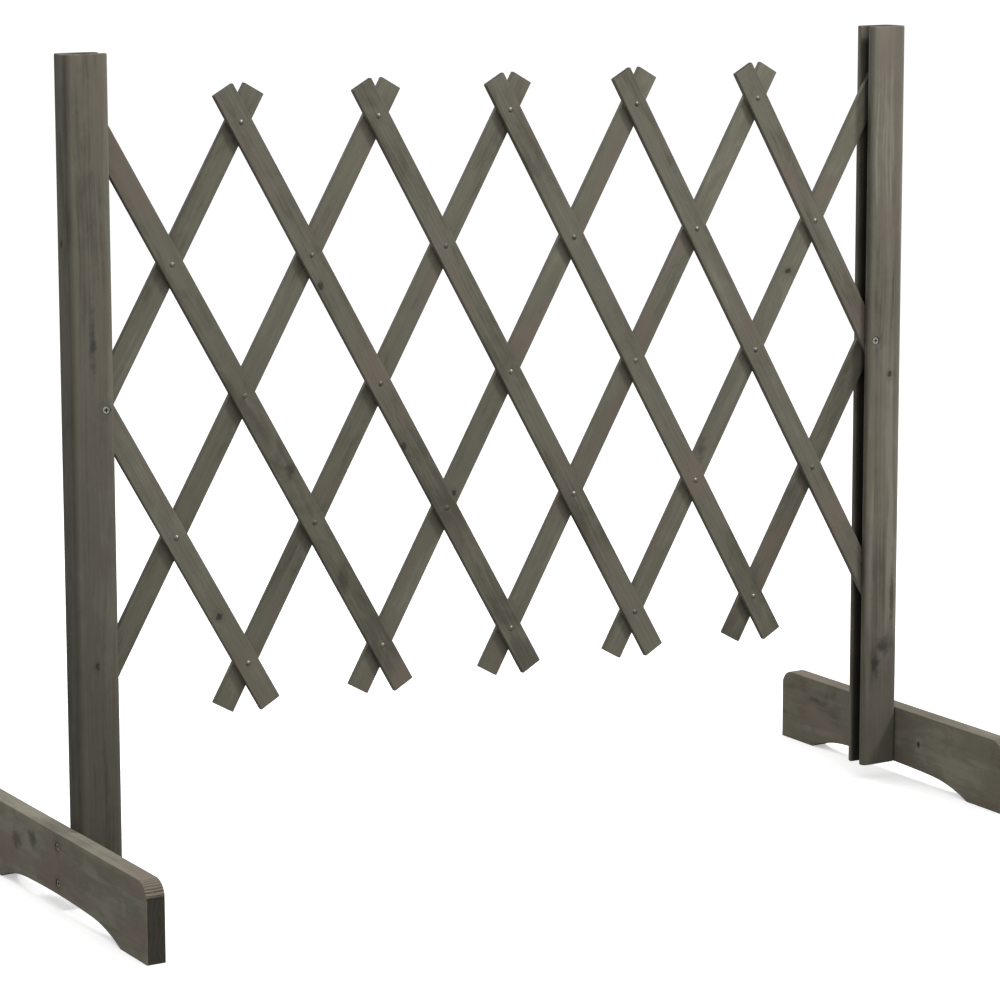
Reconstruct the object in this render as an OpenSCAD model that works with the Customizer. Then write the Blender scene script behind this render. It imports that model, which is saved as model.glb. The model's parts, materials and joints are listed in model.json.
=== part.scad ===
// Free-standing expanding trellis fence: a pinned lattice of wooden laths that folds like
// scissors between two grooved posts, each post screwed to a foot plank.
// Millimetres, +Z up, front towards -Y, origin on the ground under the middle of the panel.

/* [Lattice] */
// Width of each lath
lath_w = 26; // [20:0.5:32]
// Thickness of each lath
lath_t = 6.5; // [4:0.5:9]
// Rounding of a lath's long edges
lath_edge_r = 1; // [0.4:0.1:1.8]
// Distance between neighbouring crossings along a lath
hole_pitch = 167; // [140:1:175]
// Lean of each lath from upright as the panel stands
rest_angle = 29.6; // [15:0.1:32]
// Lean of each lath when the panel is pulled out to its widest
open_angle = 32.7; // [32:0.1:40]
// Length of a lath above its top crossing
top_tail = 40; // [25:1:60]
// Length of a lath below its bottom crossing
bottom_tail = 54; // [25:1:70]
// Length of a lath past its last crossing inside a post's groove
groove_tail = 20; // [15:1:26]
// Running gap between the front and the rear layer of laths
layer_gap = 0.4; // [0.3:0.1:1]

/* [Lattice pins] */
// Shank diameter of the pin through each crossing
pin_d = 3; // [2:0.1:5]
// Diameter of a pin's domed heads
pin_head_d = 6; // [5.5:0.1:8]
// Height of a pin's domed heads
pin_head_h = 1.1; // [0.6:0.1:2]
// Play under a pin's rear head
pin_play = 0.2; // [0.1:0.05:0.5]
// Radial running clearance of a lath on its pin or screw
run_clearance = 0.05; // [0.02:0.01:0.1]

/* [Posts] */
// Width of a post, across the panel
post_w = 48; // [44:1:70]
// Depth of a post, front to back
post_d = 34; // [30:1:50]
// Height of a post's top above the ground
post_top = 900; // [880:10:1100]
// Height of a post's lower end above the ground
post_lift = 19; // [0:1:30]
// Rounding of a post's upright edges
post_edge_r = 6; // [1:0.5:8]
// Height of the pivot that carries the lattice
pivot_z = 532; // [480:1:560]
// Distance of the pivot from the post's inner edge
pivot_inset = 10; // [8:0.5:12]
// Room between the lath layers and each wall of the groove
slot_play = 0.8; // [0.4:0.1:1.5]
// Room between the lath ends and the groove's floor
floor_play = 2; // [1:0.5:4]
// Chamfer along the groove's mouth
mouth_chamfer = 1; // [0.5:0.1:2]

/* [Feet] */
// Length of a foot plank, front to back
foot_l = 436; // [380:1:520]
// Height of a foot plank
foot_h = 85; // [80:1:120]
// Thickness of a foot plank
foot_t = 21; // [16:0.5:30]
// Rounding of a foot's top corners
foot_end_r = 18; // [6:1:40]
// Chamfer along a foot's two top edges
foot_chamfer = 1.2; // [0.4:0.1:3]
// Length of the arch under a foot
arch_span = 308; // [200:1:340]
// Height of the arch under a foot
arch_rise = 18; // [8:1:30]
// Share of the arch's length that its flat crown takes
crown_length_share = 0.55; // [0.3:0.01:0.7]
// Share of the arch's height that the crown's own curve takes
crown_height_share = 0.11; // [0.05:0.01:0.3]

/* [Screws] */
// Shank diameter of the screw that a post's half laths turn on
pivot_screw_d = 4; // [3:0.1:6]
// Head diameter of the pivot screw
pivot_screw_head_d = 8; // [7:0.1:11]
// Wood left behind the pivot screw's point
pivot_screw_cover = 4; // [2:0.5:6]
// Shank diameter of a foot screw
foot_screw_d = 4; // [3:0.1:6]
// Head diameter of a foot screw
foot_screw_head_d = 8; // [7:0.1:11]
// Wood left between a foot screw's point and the groove
foot_screw_cover = 3; // [1:0.5:6]
// Height of the lower foot screw above the arch and the post's lower end
foot_screw_low_edge = 11; // [8:0.5:20]
// Depth of the upper foot screw below the foot's top
foot_screw_high_edge = 15; // [8:0.5:20]
// Depth of the screw heads below the wood
screw_sink = 0.8; // [0.2:0.1:2]
// Room round a screw's shank and head in the wood
screw_clearance = 0.05; // [0.02:0.01:0.2]

/* [Hidden] */
$fn = 48;

// Laths of each layer, and crossings of a whole lath above or below its middle one
lath_count = 7;
half_levels = 2;
// Shares of the lean taken by a front and a rear lath, so they lean opposite ways
lean_shares = [-1, 1];
front = lean_shares[0];
rear = lean_shares[1];
// Shares of the half span at which the two posts stand
side_shares = [-1, 1];
left = side_shares[0];
right = side_shares[1];
// Facets of a whole turn on the arch's large circles
arch_facets = 720;
// Overrun of every cut past the surface that it opens
overrun = 1;
// Shares of a screw head taken by its cross recess, and of a shank taken by its point
recess_length_share = 0.62;
recess_width_share = 0.17;
recess_depth_share = 0.7;
point_length_share = 1.2;
point_width_share = 0.25;
// Shade of the stained wood on each kind of piece
post_colour = [0.41, 0.39, 0.35];
foot_colour = [0.37, 0.36, 0.32];
front_colour = [0.39, 0.37, 0.33];
rear_colour = [0.35, 0.33, 0.29];
metal_colour = [0.62, 0.60, 0.55];

// Spacing of the columns and levels of crossings
last_column = 2 * (lath_count - 1);
column_pitch = hole_pitch * sin(rest_angle);
level_pitch = hole_pitch * cos(rest_angle);
half_span = column_pitch * last_column / 2;

// The two layers of laths, and the groove that takes them
lath_stack = 2 * lath_t + layer_gap;
slot_w = lath_stack + 2 * slot_play;
lath_reach = groove_tail * sin(open_angle) + lath_w / 2 * cos(open_angle);
slot_depth = pivot_inset + lath_reach + floor_play;
post_inner_x = half_span - pivot_inset;
post_outer_x = post_inner_x + post_w;
pin_hole_d = pin_d + 2 * run_clearance;
pivot_hole_d = pivot_screw_d + 2 * run_clearance;

// Screw lengths, under the sunk heads
pivot_screw_l = post_d - screw_sink - pivot_screw_cover;
foot_screw_l = foot_t - screw_sink + post_w - slot_depth - foot_screw_cover;
foot_screw_low_z = max(arch_rise, post_lift) + foot_screw_low_edge;
foot_screw_high_z = foot_h - foot_screw_high_edge;

// The arch's crown is an arc through its top and its two ends
crown_l = arch_span * crown_length_share;
crown_h = arch_rise * crown_height_share;
crown_r = (pow(crown_l / 2, 2) + pow(crown_h, 2)) / (2 * crown_h);
crown_end = [crown_l / 2, arch_rise - crown_h];
crown_end_normal = [crown_l / 2, crown_r - crown_h] / crown_r;
// Each shoulder runs on smoothly from the crown's end to the ground
shoulder_run = [arch_span / 2, 0] - crown_end;
shoulder_r = -(shoulder_run * shoulder_run) / (2 * (crown_end_normal * shoulder_run));
shoulder_centre = crown_end - shoulder_r * crown_end_normal;

// Column of the crossing that lies k levels above the middle of lath i
function column(i, k, layer) = 2 * i + layer * k;
function column_x(c) = c * column_pitch - half_span;
function in_post(c) = c == 0 || c == last_column;
// Levels that lath i reaches before it ends in the open or in a post
function lath_steps(i, layer) =
    [for (k = [-half_levels : half_levels])
        if (column(i, k, layer) >= 0 && column(i, k, layer) <= last_column) k];
// Levels at which lath i is pinned to a lath of the other layer
function pinned_steps(i, layer) = [for (k = lath_steps(i, layer)) if (!in_post(column(i, k, layer))) k];
function tail(c, open_tail) = in_post(c) ? groove_tail : open_tail;

// Rectangle with round corners, centred on the origin
module round_rect(w, h, r) {
    square([w - 2 * r, h], center = true);
    square([w, h - 2 * r], center = true);
    for (x = [-1, 1], y = [-1, 1])
        translate([x * (w / 2 - r), y * (h / 2 - r)]) circle(r);
}

// Part of a ball, standing on the plane z = 0
module dome(d, h) {
    ball_r = (pow(d / 2, 2) + pow(h, 2)) / (2 * h);
    rotate_extrude()
        intersection() {
            translate([0, h - ball_r]) circle(ball_r);
            square([d / 2, h]);
        }
}

// Countersunk screw with its head at z = 0 and its point at z = l
module screw(d, head_d, l) {
    head_h = (head_d - d) / 2;
    point_l = d * point_length_share;
    recess_l = head_d * recess_length_share;
    recess_w = head_d * recess_width_share;
    recess_h = head_h * recess_depth_share;
    difference() {
        union() {
            cylinder(d1 = head_d, d2 = d, h = head_h);
            translate([0, 0, head_h]) cylinder(d = d, h = l - head_h - point_l);
            translate([0, 0, l - point_l]) cylinder(d1 = d, d2 = d * point_width_share, h = point_l);
        }
        for (turn = [0, 90])
            rotate([0, 0, turn])
                translate([-recess_l / 2, -recess_w / 2, -overrun])
                    cube([recess_l, recess_w, recess_h + overrun]);
    }
}

// Room for such a screw, sunk below a surface at z = 0
module screw_hole(d, head_d, l) {
    head_h = (head_d - d) / 2;
    hole_d = d + 2 * screw_clearance;
    sink_d = head_d + 2 * screw_clearance;
    translate([0, 0, -overrun]) cylinder(d = sink_d, h = screw_sink + overrun);
    translate([0, 0, screw_sink]) cylinder(d1 = sink_d, d2 = hole_d, h = head_h);
    cylinder(d = hole_d, h = screw_sink + l + screw_clearance);
}

// Carries children from a lath's middle crossing to the front face of its post
module at_pivot(side) {
    translate([side * half_span, -post_d / 2, pivot_z]) rotate([-90, 0, 0]) children();
}

// Carries children to the outer face of a foot, pointing inwards, at both screws
module at_foot_screws(side) {
    for (z = [foot_screw_low_z, foot_screw_high_z])
        translate([side * (post_outer_x + foot_t), 0, z]) rotate([0, -side * 90, 0]) children();
}

// Section of a post: solid outwards, grooved from its inner edge at x = 0
module post_section() {
    difference() {
        translate([post_w / 2, 0]) round_rect(post_w, post_d, post_edge_r);
        translate([-overrun, -slot_w / 2]) square([slot_depth + overrun, slot_w]);
        polygon([[-overrun, -slot_w / 2 - mouth_chamfer - overrun],
                 [mouth_chamfer, -slot_w / 2],
                 [mouth_chamfer, slot_w / 2],
                 [-overrun, slot_w / 2 + mouth_chamfer + overrun]]);
    }
}

module post(side) {
    color(post_colour)
        difference() {
            mirror([side == left ? 1 : 0, 0, 0])
                translate([post_inner_x, 0, post_lift])
                    linear_extrude(post_top - post_lift) post_section();
            at_pivot(side) screw_hole(pivot_screw_d, pivot_screw_head_d, pivot_screw_l);
            at_foot_screws(side) screw_hole(foot_screw_d, foot_screw_head_d, foot_screw_l);
        }
}

// Opening under a foot: a flat crown between two rounder shoulders
module arch() {
    intersection() {
        translate([0, arch_rise - crown_r]) circle(crown_r, $fn = arch_facets);
        translate([-crown_l / 2, -overrun]) square([crown_l, arch_rise + 2 * overrun]);
    }
    for (turn = [0, 1])
        mirror([turn, 0])
            intersection() {
                translate(shoulder_centre) circle(shoulder_r, $fn = arch_facets);
                translate([crown_l / 2, -overrun])
                    square([(arch_span - crown_l) / 2 + overrun, arch_rise + overrun]);
            }
}

// Side outline of a foot: round top corners, and an arch between its two pads
module foot_outline() {
    difference() {
        union() {
            translate([-foot_l / 2, 0]) square([foot_l, foot_h - foot_end_r]);
            translate([-foot_l / 2 + foot_end_r, 0]) square([foot_l - 2 * foot_end_r, foot_h]);
            for (end = [-1, 1])
                translate([end * (foot_l / 2 - foot_end_r), foot_h - foot_end_r]) circle(foot_end_r);
        }
        arch();
    }
}

// Corner along the top of a foot that its chamfer takes away
module foot_edge_cut() {
    rotate([90, 0, 0])
        linear_extrude(foot_l + 2 * overrun, center = true)
            polygon([[foot_t / 2 - foot_chamfer - overrun, foot_h + overrun],
                     [foot_t / 2 + overrun, foot_h + overrun],
                     [foot_t / 2 + overrun, foot_h - foot_chamfer - overrun]]);
}

module foot(side) {
    color(foot_colour)
        difference() {
            translate([side * (post_outer_x + foot_t / 2), 0, 0])
                difference() {
                    rotate([90, 0, 90]) linear_extrude(foot_t, center = true) foot_outline();
                    for (turn = [0, 180])
                        rotate([0, 0, turn]) foot_edge_cut();
                }
            at_foot_screws(side) screw_hole(foot_screw_d, foot_screw_head_d, foot_screw_l);
        }
}

// Lath i of a layer, counted from the left, drilled at its crossings and at a post's pivot
module lath(i, layer) {
    steps = lath_steps(i, layer);
    low = min(steps);
    high = max(steps);
    bottom = low * hole_pitch - tail(column(i, low, layer), bottom_tail);
    top = high * hole_pitch + tail(column(i, high, layer), top_tail);
    color(layer == front ? front_colour : rear_colour)
        translate([column_x(column(i, 0, layer)), layer * (lath_t + layer_gap) / 2, pivot_z])
            rotate([0, layer * rest_angle, 0])
                difference() {
                    translate([0, 0, bottom])
                        linear_extrude(top - bottom) round_rect(lath_w, lath_t, lath_edge_r);
                    for (k = pinned_steps(i, layer))
                        lath_hole(k * hole_pitch, pin_hole_d);
                    if (in_post(column(i, 0, layer)))
                        lath_hole(0, pivot_hole_d);
                }
}

module lath_hole(z, d) {
    translate([0, 0, z]) rotate([90, 0, 0]) cylinder(d = d, h = lath_t + 2 * overrun, center = true);
}

// Riveted pin through both layers: its front head sits on the wood, its rear head has play
module lattice_pin() {
    rotate([-90, 0, 0]) {
        translate([0, 0, -lath_stack / 2]) mirror([0, 0, 1]) dome(pin_head_d, pin_head_h);
        translate([0, 0, -lath_stack / 2]) cylinder(d = pin_d, h = lath_stack + pin_play);
        translate([0, 0, lath_stack / 2 + pin_play]) dome(pin_head_d, pin_head_h);
    }
}

// The pins that stand along front lath i
module lattice_pins(i) {
    color(metal_colour)
        for (k = pinned_steps(i, front))
            translate([column_x(column(i, k, front)), 0, pivot_z + k * level_pitch]) lattice_pin();
}

module pivot_screw(side) {
    color(metal_colour)
        at_pivot(side)
            translate([0, 0, screw_sink]) screw(pivot_screw_d, pivot_screw_head_d, pivot_screw_l);
}

module foot_screws(side) {
    color(metal_colour)
        at_foot_screws(side)
            translate([0, 0, screw_sink]) screw(foot_screw_d, foot_screw_head_d, foot_screw_l);
}

post(left);  // left_post
post(right);  // right_post
foot(left);  // left_foot
foot(right);  // right_foot
for (i = [0 : lath_count - 1]) {
    lath(i, front);
    lath(i, rear);
    lattice_pins(i);
}
pivot_screw(left);  // left_pivot_screw
pivot_screw(right);  // right_pivot_screw
foot_screws(left);  // left_foot_screws
foot_screws(right);  // right_foot_screws
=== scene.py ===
import json
import math

import bpy
import numpy as np
from mathutils import Matrix, Vector


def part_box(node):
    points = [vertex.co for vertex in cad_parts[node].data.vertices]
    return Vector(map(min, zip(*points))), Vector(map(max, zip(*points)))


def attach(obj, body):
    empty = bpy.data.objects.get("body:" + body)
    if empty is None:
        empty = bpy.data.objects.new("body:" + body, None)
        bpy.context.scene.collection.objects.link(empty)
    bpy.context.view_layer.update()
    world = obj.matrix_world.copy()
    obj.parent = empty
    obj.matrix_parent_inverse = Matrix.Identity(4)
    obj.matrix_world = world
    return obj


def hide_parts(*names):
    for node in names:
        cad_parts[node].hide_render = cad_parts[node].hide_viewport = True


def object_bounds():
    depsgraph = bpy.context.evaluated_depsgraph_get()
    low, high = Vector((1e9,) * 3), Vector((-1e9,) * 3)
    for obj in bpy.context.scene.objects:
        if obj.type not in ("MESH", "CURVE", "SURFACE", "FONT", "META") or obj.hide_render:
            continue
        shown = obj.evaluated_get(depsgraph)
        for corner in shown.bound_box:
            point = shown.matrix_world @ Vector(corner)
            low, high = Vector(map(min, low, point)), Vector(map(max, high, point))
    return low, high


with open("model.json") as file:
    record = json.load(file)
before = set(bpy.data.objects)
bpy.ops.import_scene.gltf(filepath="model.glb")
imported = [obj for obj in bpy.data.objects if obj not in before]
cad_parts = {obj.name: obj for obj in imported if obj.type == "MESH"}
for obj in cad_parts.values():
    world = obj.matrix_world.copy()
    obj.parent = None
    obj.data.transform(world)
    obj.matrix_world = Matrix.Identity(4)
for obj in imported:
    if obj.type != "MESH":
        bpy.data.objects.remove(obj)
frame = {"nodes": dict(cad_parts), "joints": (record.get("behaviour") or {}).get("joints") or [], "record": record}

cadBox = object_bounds()  # the fence as packed, before it is dressed
scene = bpy.context.scene
joints = {joint["name"]: joint for joint in frame["joints"]}
bodyOf = {}
for bodyName, members in frame["record"]["behaviour"]["bodies"].items():
    for member in members:
        bodyOf[member] = bodyName
print("frame loaded:", len(frame["nodes"]), "nodes")


# camera, at the place the photograph was taken from
camera = {
    "place": (-2.01796, -3.35721, 1.11045),
    "yaw": 30.88,      # degrees to the right of straight ahead
    "pitch": 8.86,     # degrees downwards
    "roll": 0.13,
    "lens": 128.468,   # mm
    "sensor": 36.0,    # mm
    "shift": (0.0, -0.10),
    "farthest": 100.0,
}


def lookAlong(yaw, pitch, roll):
    # forward from yaw and pitch, right and down square to it, then both turned by the roll
    level = math.cos(pitch)
    forward = Vector((math.sin(yaw) * level, math.cos(yaw) * level, -math.sin(pitch)))
    right = Vector((math.cos(yaw), -math.sin(yaw), 0.0))
    down = forward.cross(right)
    across = right * math.cos(roll) + down * math.sin(roll)
    below = down * math.cos(roll) - right * math.sin(roll)
    return Matrix((across, -below, -forward)).transposed()


def placeCamera(spec):
    data = bpy.data.cameras.new("photoCamera")
    data.sensor_width = spec["sensor"]
    data.lens = spec["lens"]
    data.shift_x, data.shift_y = spec["shift"]
    data.clip_end = spec["farthest"]
    made = bpy.data.objects.new("photoCamera", data)
    turn = lookAlong(*(math.radians(spec[key]) for key in ("yaw", "pitch", "roll")))
    made.matrix_world = Matrix.Translation(spec["place"]) @ turn.to_4x4()
    scene.collection.objects.link(made)
    scene.camera = made


placeCamera(camera)
print("camera placed")


# node helpers
def addNode(tree, kind, inputs=None, **settings):
    made = tree.nodes.new(kind)
    for name, value in settings.items():
        setattr(made, name, value)
    for key, value in (inputs or {}).items():
        if isinstance(value, bpy.types.NodeSocket):
            tree.links.new(value, made.inputs[key])
        else:
            made.inputs[key].default_value = value
    return made


def maths(tree, operation, *values):
    return addNode(tree, "ShaderNodeMath", dict(enumerate(values)), operation=operation).outputs[0]


def vectorMaths(tree, operation, *values):
    # a length or a dot product is a number, the rest are vectors
    made = addNode(tree, "ShaderNodeVectorMath", dict(enumerate(values)), operation=operation)
    return made.outputs["Value" if operation in ("LENGTH", "DOT_PRODUCT") else "Vector"]


def axesOf(tree, vector):
    return addNode(tree, "ShaderNodeSeparateXYZ", {0: vector}).outputs


def attributeOf(tree, name):
    return addNode(tree, "ShaderNodeAttribute", attribute_name=name).outputs["Fac"]


def noiseOf(tree, vector, scale, detail=3.0, roughness=0.55, distortion=0.0, output="Fac"):
    # noise on a vector stretched by a scale for each axis
    stretched = addNode(tree, "ShaderNodeMapping", {"Vector": vector, "Scale": scale}).outputs["Vector"]
    inputs = {"Vector": stretched, "Scale": 1.0, "Detail": detail, "Roughness": roughness,
              "Distortion": distortion}
    return addNode(tree, "ShaderNodeTexNoise", inputs).outputs[output]


def ramped(tree, value, low, high, first=0.0, last=1.0, kind="SMOOTHSTEP"):
    inputs = {"Value": value, "From Min": low, "From Max": high, "To Min": first, "To Max": last}
    return addNode(tree, "ShaderNodeMapRange", inputs, interpolation_type=kind).outputs["Result"]


def mixed(tree, share, under, over):
    return addNode(tree, "ShaderNodeMix", {0: share, 6: under, 7: over}, data_type="RGBA").outputs[2]


def newGroup(name, inputs, outputs):
    group = bpy.data.node_groups.new(name, "ShaderNodeTree")
    for way, sockets in (("INPUT", inputs), ("OUTPUT", outputs)):
        for socketName, kind in sockets:
            group.interface.new_socket(socketName, in_out=way, socket_type="NodeSocket" + kind)
    taken = group.nodes.new("NodeGroupInput").outputs
    given = group.nodes.new("NodeGroupOutput").inputs
    return group, taken, given


def useGroup(tree, group, inputs):
    return addNode(tree, "ShaderNodeGroup", inputs, node_tree=group).outputs


def makeMesh(name, vertices, faces):
    mesh = bpy.data.meshes.new(name)
    mesh.from_pydata(vertices, [], faces)
    mesh.validate()
    made = bpy.data.objects.new(name, mesh)
    scene.collection.objects.link(made)
    return made


# floor and studio light
studio = {
    "floorReach": 60.0,
    "floorSteps": 9,
    "floorTone": (0.90, 0.90, 0.90, 1.0),
    "floorBounce": (0.34, 0.34, 0.335, 1.0),    # what the floor throws back on the wood
    "floorGlow": 0.42,
    "skyTone": (1.0, 1.0, 1.0, 1.0),
    "skyLow": 0.44,        # sky behind and to the left
    "skyHigh": 0.86,       # sky above, in front and to the right
    "skyAim": (0.45, -0.55, 0.70),
    "skyCosines": (-0.6, 1.0),
    "keyBox": {"place": (0.20, -1.35, 2.00), "aim": (0.0, 0.0, 0.80), "size": (2.0, 0.9), "power": 9.0},
    # smaller and farther off, for the shadows where laths cross
    "sideBox": {"place": (2.40, -2.30, 3.10), "aim": (0.0, 0.0, 0.55), "size": (0.7, 0.7), "power": 96.0},
    # lights the far side
    "backBox": {"place": (-0.70, 1.90, 1.90), "aim": (0.0, 0.0, 0.50), "size": (2.0, 0.9), "power": 26.0},
}


def softBox(name, place, aim, size, power):
    data = bpy.data.lights.new(name, "AREA")
    data.shape = "RECTANGLE"
    data.size, data.size_y = size
    data.energy = power
    made = bpy.data.objects.new(name, data)
    made.visible_camera = False
    towards = Vector(aim) - Vector(place)
    turn = towards.to_track_quat("-Z", "Y").to_matrix().to_4x4()
    made.matrix_world = Matrix.Translation(place) @ turn
    scene.collection.objects.link(made)


def layFloor(spec):
    # a square grid at height zero
    count = spec["floorSteps"]
    steps = np.linspace(-spec["floorReach"], spec["floorReach"], count)
    xx, yy = np.meshgrid(steps, steps)
    points = np.stack((xx, yy, np.zeros_like(xx)), -1).reshape(-1, 3)
    index = np.arange(count * count).reshape(count, count)
    quads = np.stack((index[:-1, :-1], index[:-1, 1:], index[1:, 1:], index[1:, :-1]), -1).reshape(-1, 4)
    floor = makeMesh("studioFloor", points.tolist(), quads.tolist())
    # the camera sees pale paper, the wood gets back only a little of its light
    paper = bpy.data.materials.new("studioPaper")
    paper.use_nodes = True
    tree = paper.node_tree
    tree.nodes.clear()
    seen = addNode(tree, "ShaderNodeLightPath").outputs["Is Camera Ray"]
    pale = addNode(tree, "ShaderNodeBsdfDiffuse", {"Color": spec["floorTone"]})
    glow = addNode(tree, "ShaderNodeEmission", {"Strength": spec["floorGlow"]})
    bright = addNode(tree, "ShaderNodeAddShader", {0: pale.outputs[0], 1: glow.outputs[0]})
    dull = addNode(tree, "ShaderNodeBsdfDiffuse", {"Color": spec["floorBounce"]})
    either = addNode(tree, "ShaderNodeMixShader", {0: seen, 1: dull.outputs[0], 2: bright.outputs[0]})
    addNode(tree, "ShaderNodeOutputMaterial", {"Surface": either.outputs[0]})
    floor.data.materials.append(paper)


def hangSky(spec):
    # strength rises from low to high with the cosine to its aim; the camera sees plain white
    world = bpy.data.worlds.new("studioSky")
    world.use_nodes = True
    tree = world.node_tree
    sky = tree.nodes["Background"]
    towards = addNode(tree, "ShaderNodeTexCoord").outputs["Generated"]
    cosine = vectorMaths(tree, "DOT_PRODUCT", towards, Vector(spec["skyAim"]).normalized())
    strength = ramped(tree, cosine, *spec["skyCosines"], spec["skyLow"], spec["skyHigh"], "LINEAR")
    seen = addNode(tree, "ShaderNodeLightPath").outputs["Is Camera Ray"]
    sky.inputs["Color"].default_value = spec["skyTone"]
    tree.links.new(maths(tree, "MAXIMUM", strength, seen), sky.inputs["Strength"])
    scene.world = world


layFloor(studio)
hangSky(studio)
for boxName in ("keyBox", "sideBox", "backBox"):
    softBox(boxName, **studio[boxName])
scene.view_settings.view_transform = "Standard"
print("studio laid")


# knots, collars and smudges
knotFigure = {
    "fineScale": (300.0, 300.0, 300.0),
    "broadScale": (85.0, 85.0, 85.0),
    "fineReach": 0.2,      # how far fine noise roughens a border, in reaches
    "broadReach": 0.4,
    "mask": (0.55, 1.1),   # each fades over these distances from the centre, in reaches
    "halo": (0.9, 2.6),
    "smudge": (0.1, 1.7),
    "collarInner": (1.1, 1.7),
    "collarOuter": (2.2, 3.4),
}


def makeKnotGroup(spec):
    # distance from a centre over a reach for each axis, roughened by noise, faded from 1 inside to 0;
    # a collar is a pale ring, faded both ways
    names = (("Position", "Vector"), ("Centre", "Vector"), ("Reach", "Vector"))
    outs = (("Mask", "Float"), ("Halo", "Float"), ("Smudge", "Float"), ("Collar", "Float"))
    tree, taken, given = newGroup("woodKnot", names, outs)
    place = taken["Position"]
    offset = vectorMaths(tree, "SUBTRACT", place, taken["Centre"])
    away = vectorMaths(tree, "LENGTH", vectorMaths(tree, "DIVIDE", offset, taken["Reach"]))
    fine = noiseOf(tree, place, spec["fineScale"], 2.0)
    broad = noiseOf(tree, place, spec["broadScale"], 1.0)
    fineReach, broadReach = spec["fineReach"], spec["broadReach"]
    ragged = maths(tree, "ADD", away, ramped(tree, fine, 0.25, 0.75, -fineReach, fineReach))
    tree.links.new(ramped(tree, ragged, *spec["mask"], 1.0, 0.0), given["Mask"])
    ragged = maths(tree, "ADD", ragged, ramped(tree, broad, 0.25, 0.75, -broadReach, broadReach))
    tree.links.new(ramped(tree, ragged, *spec["halo"], 1.0, 0.0), given["Halo"])
    tree.links.new(ramped(tree, ragged, *spec["smudge"], 1.0, 0.0), given["Smudge"])
    inner = ramped(tree, away, *spec["collarInner"])
    outer = ramped(tree, ragged, *spec["collarOuter"], 1.0, 0.0)
    tree.links.new(maths(tree, "MULTIPLY", inner, outer), given["Collar"])
    return tree


# stained softwood; scales are waves to the metre across, across and along the grain
woodFigure = {
    "swayScale": (7.0, 7.0, 2.4),
    "swayReach": (0.028, 0.028, 0.0),
    "pith": (0.041, 0.057, 0.0),
    "ringPitch": 0.0052,
    "ringCrowd": 0.012,    # how far the rings crowd and spread
    "crowdScale": (45.0, 45.0, 0.8),
    "knotSwell": 0.004,    # how far the rings bend round a knot
    "streakScale": (120.0, 120.0, 3.0),
    "fibreScale": (680.0, 680.0, 16.0),
    "poreScale": (1100.0, 1100.0, 60.0),
    "cloudScale": (11.0, 11.0, 4.5),
    "smudgeScale": (55.0, 55.0, 26.0),
    "speckScale": (330.0, 330.0, 120.0),
    "blushScale": (17.0, 17.0, 7.0),
    "strokeScale": (90.0, 90.0, 1.3),
    "streakShare": 1.1,
    "fibreShare": 0.6,
    "ringShare": -0.13,
    "smudgeShare": 0.55,
    "knotCore": (0.010, 0.009, 0.007, 1.0),
    "shadeTone": (0.004, 0.004, 0.003, 1.0),
    "roughness": (0.82, 0.6),
    "bumpDistance": 0.0006,
}


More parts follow.
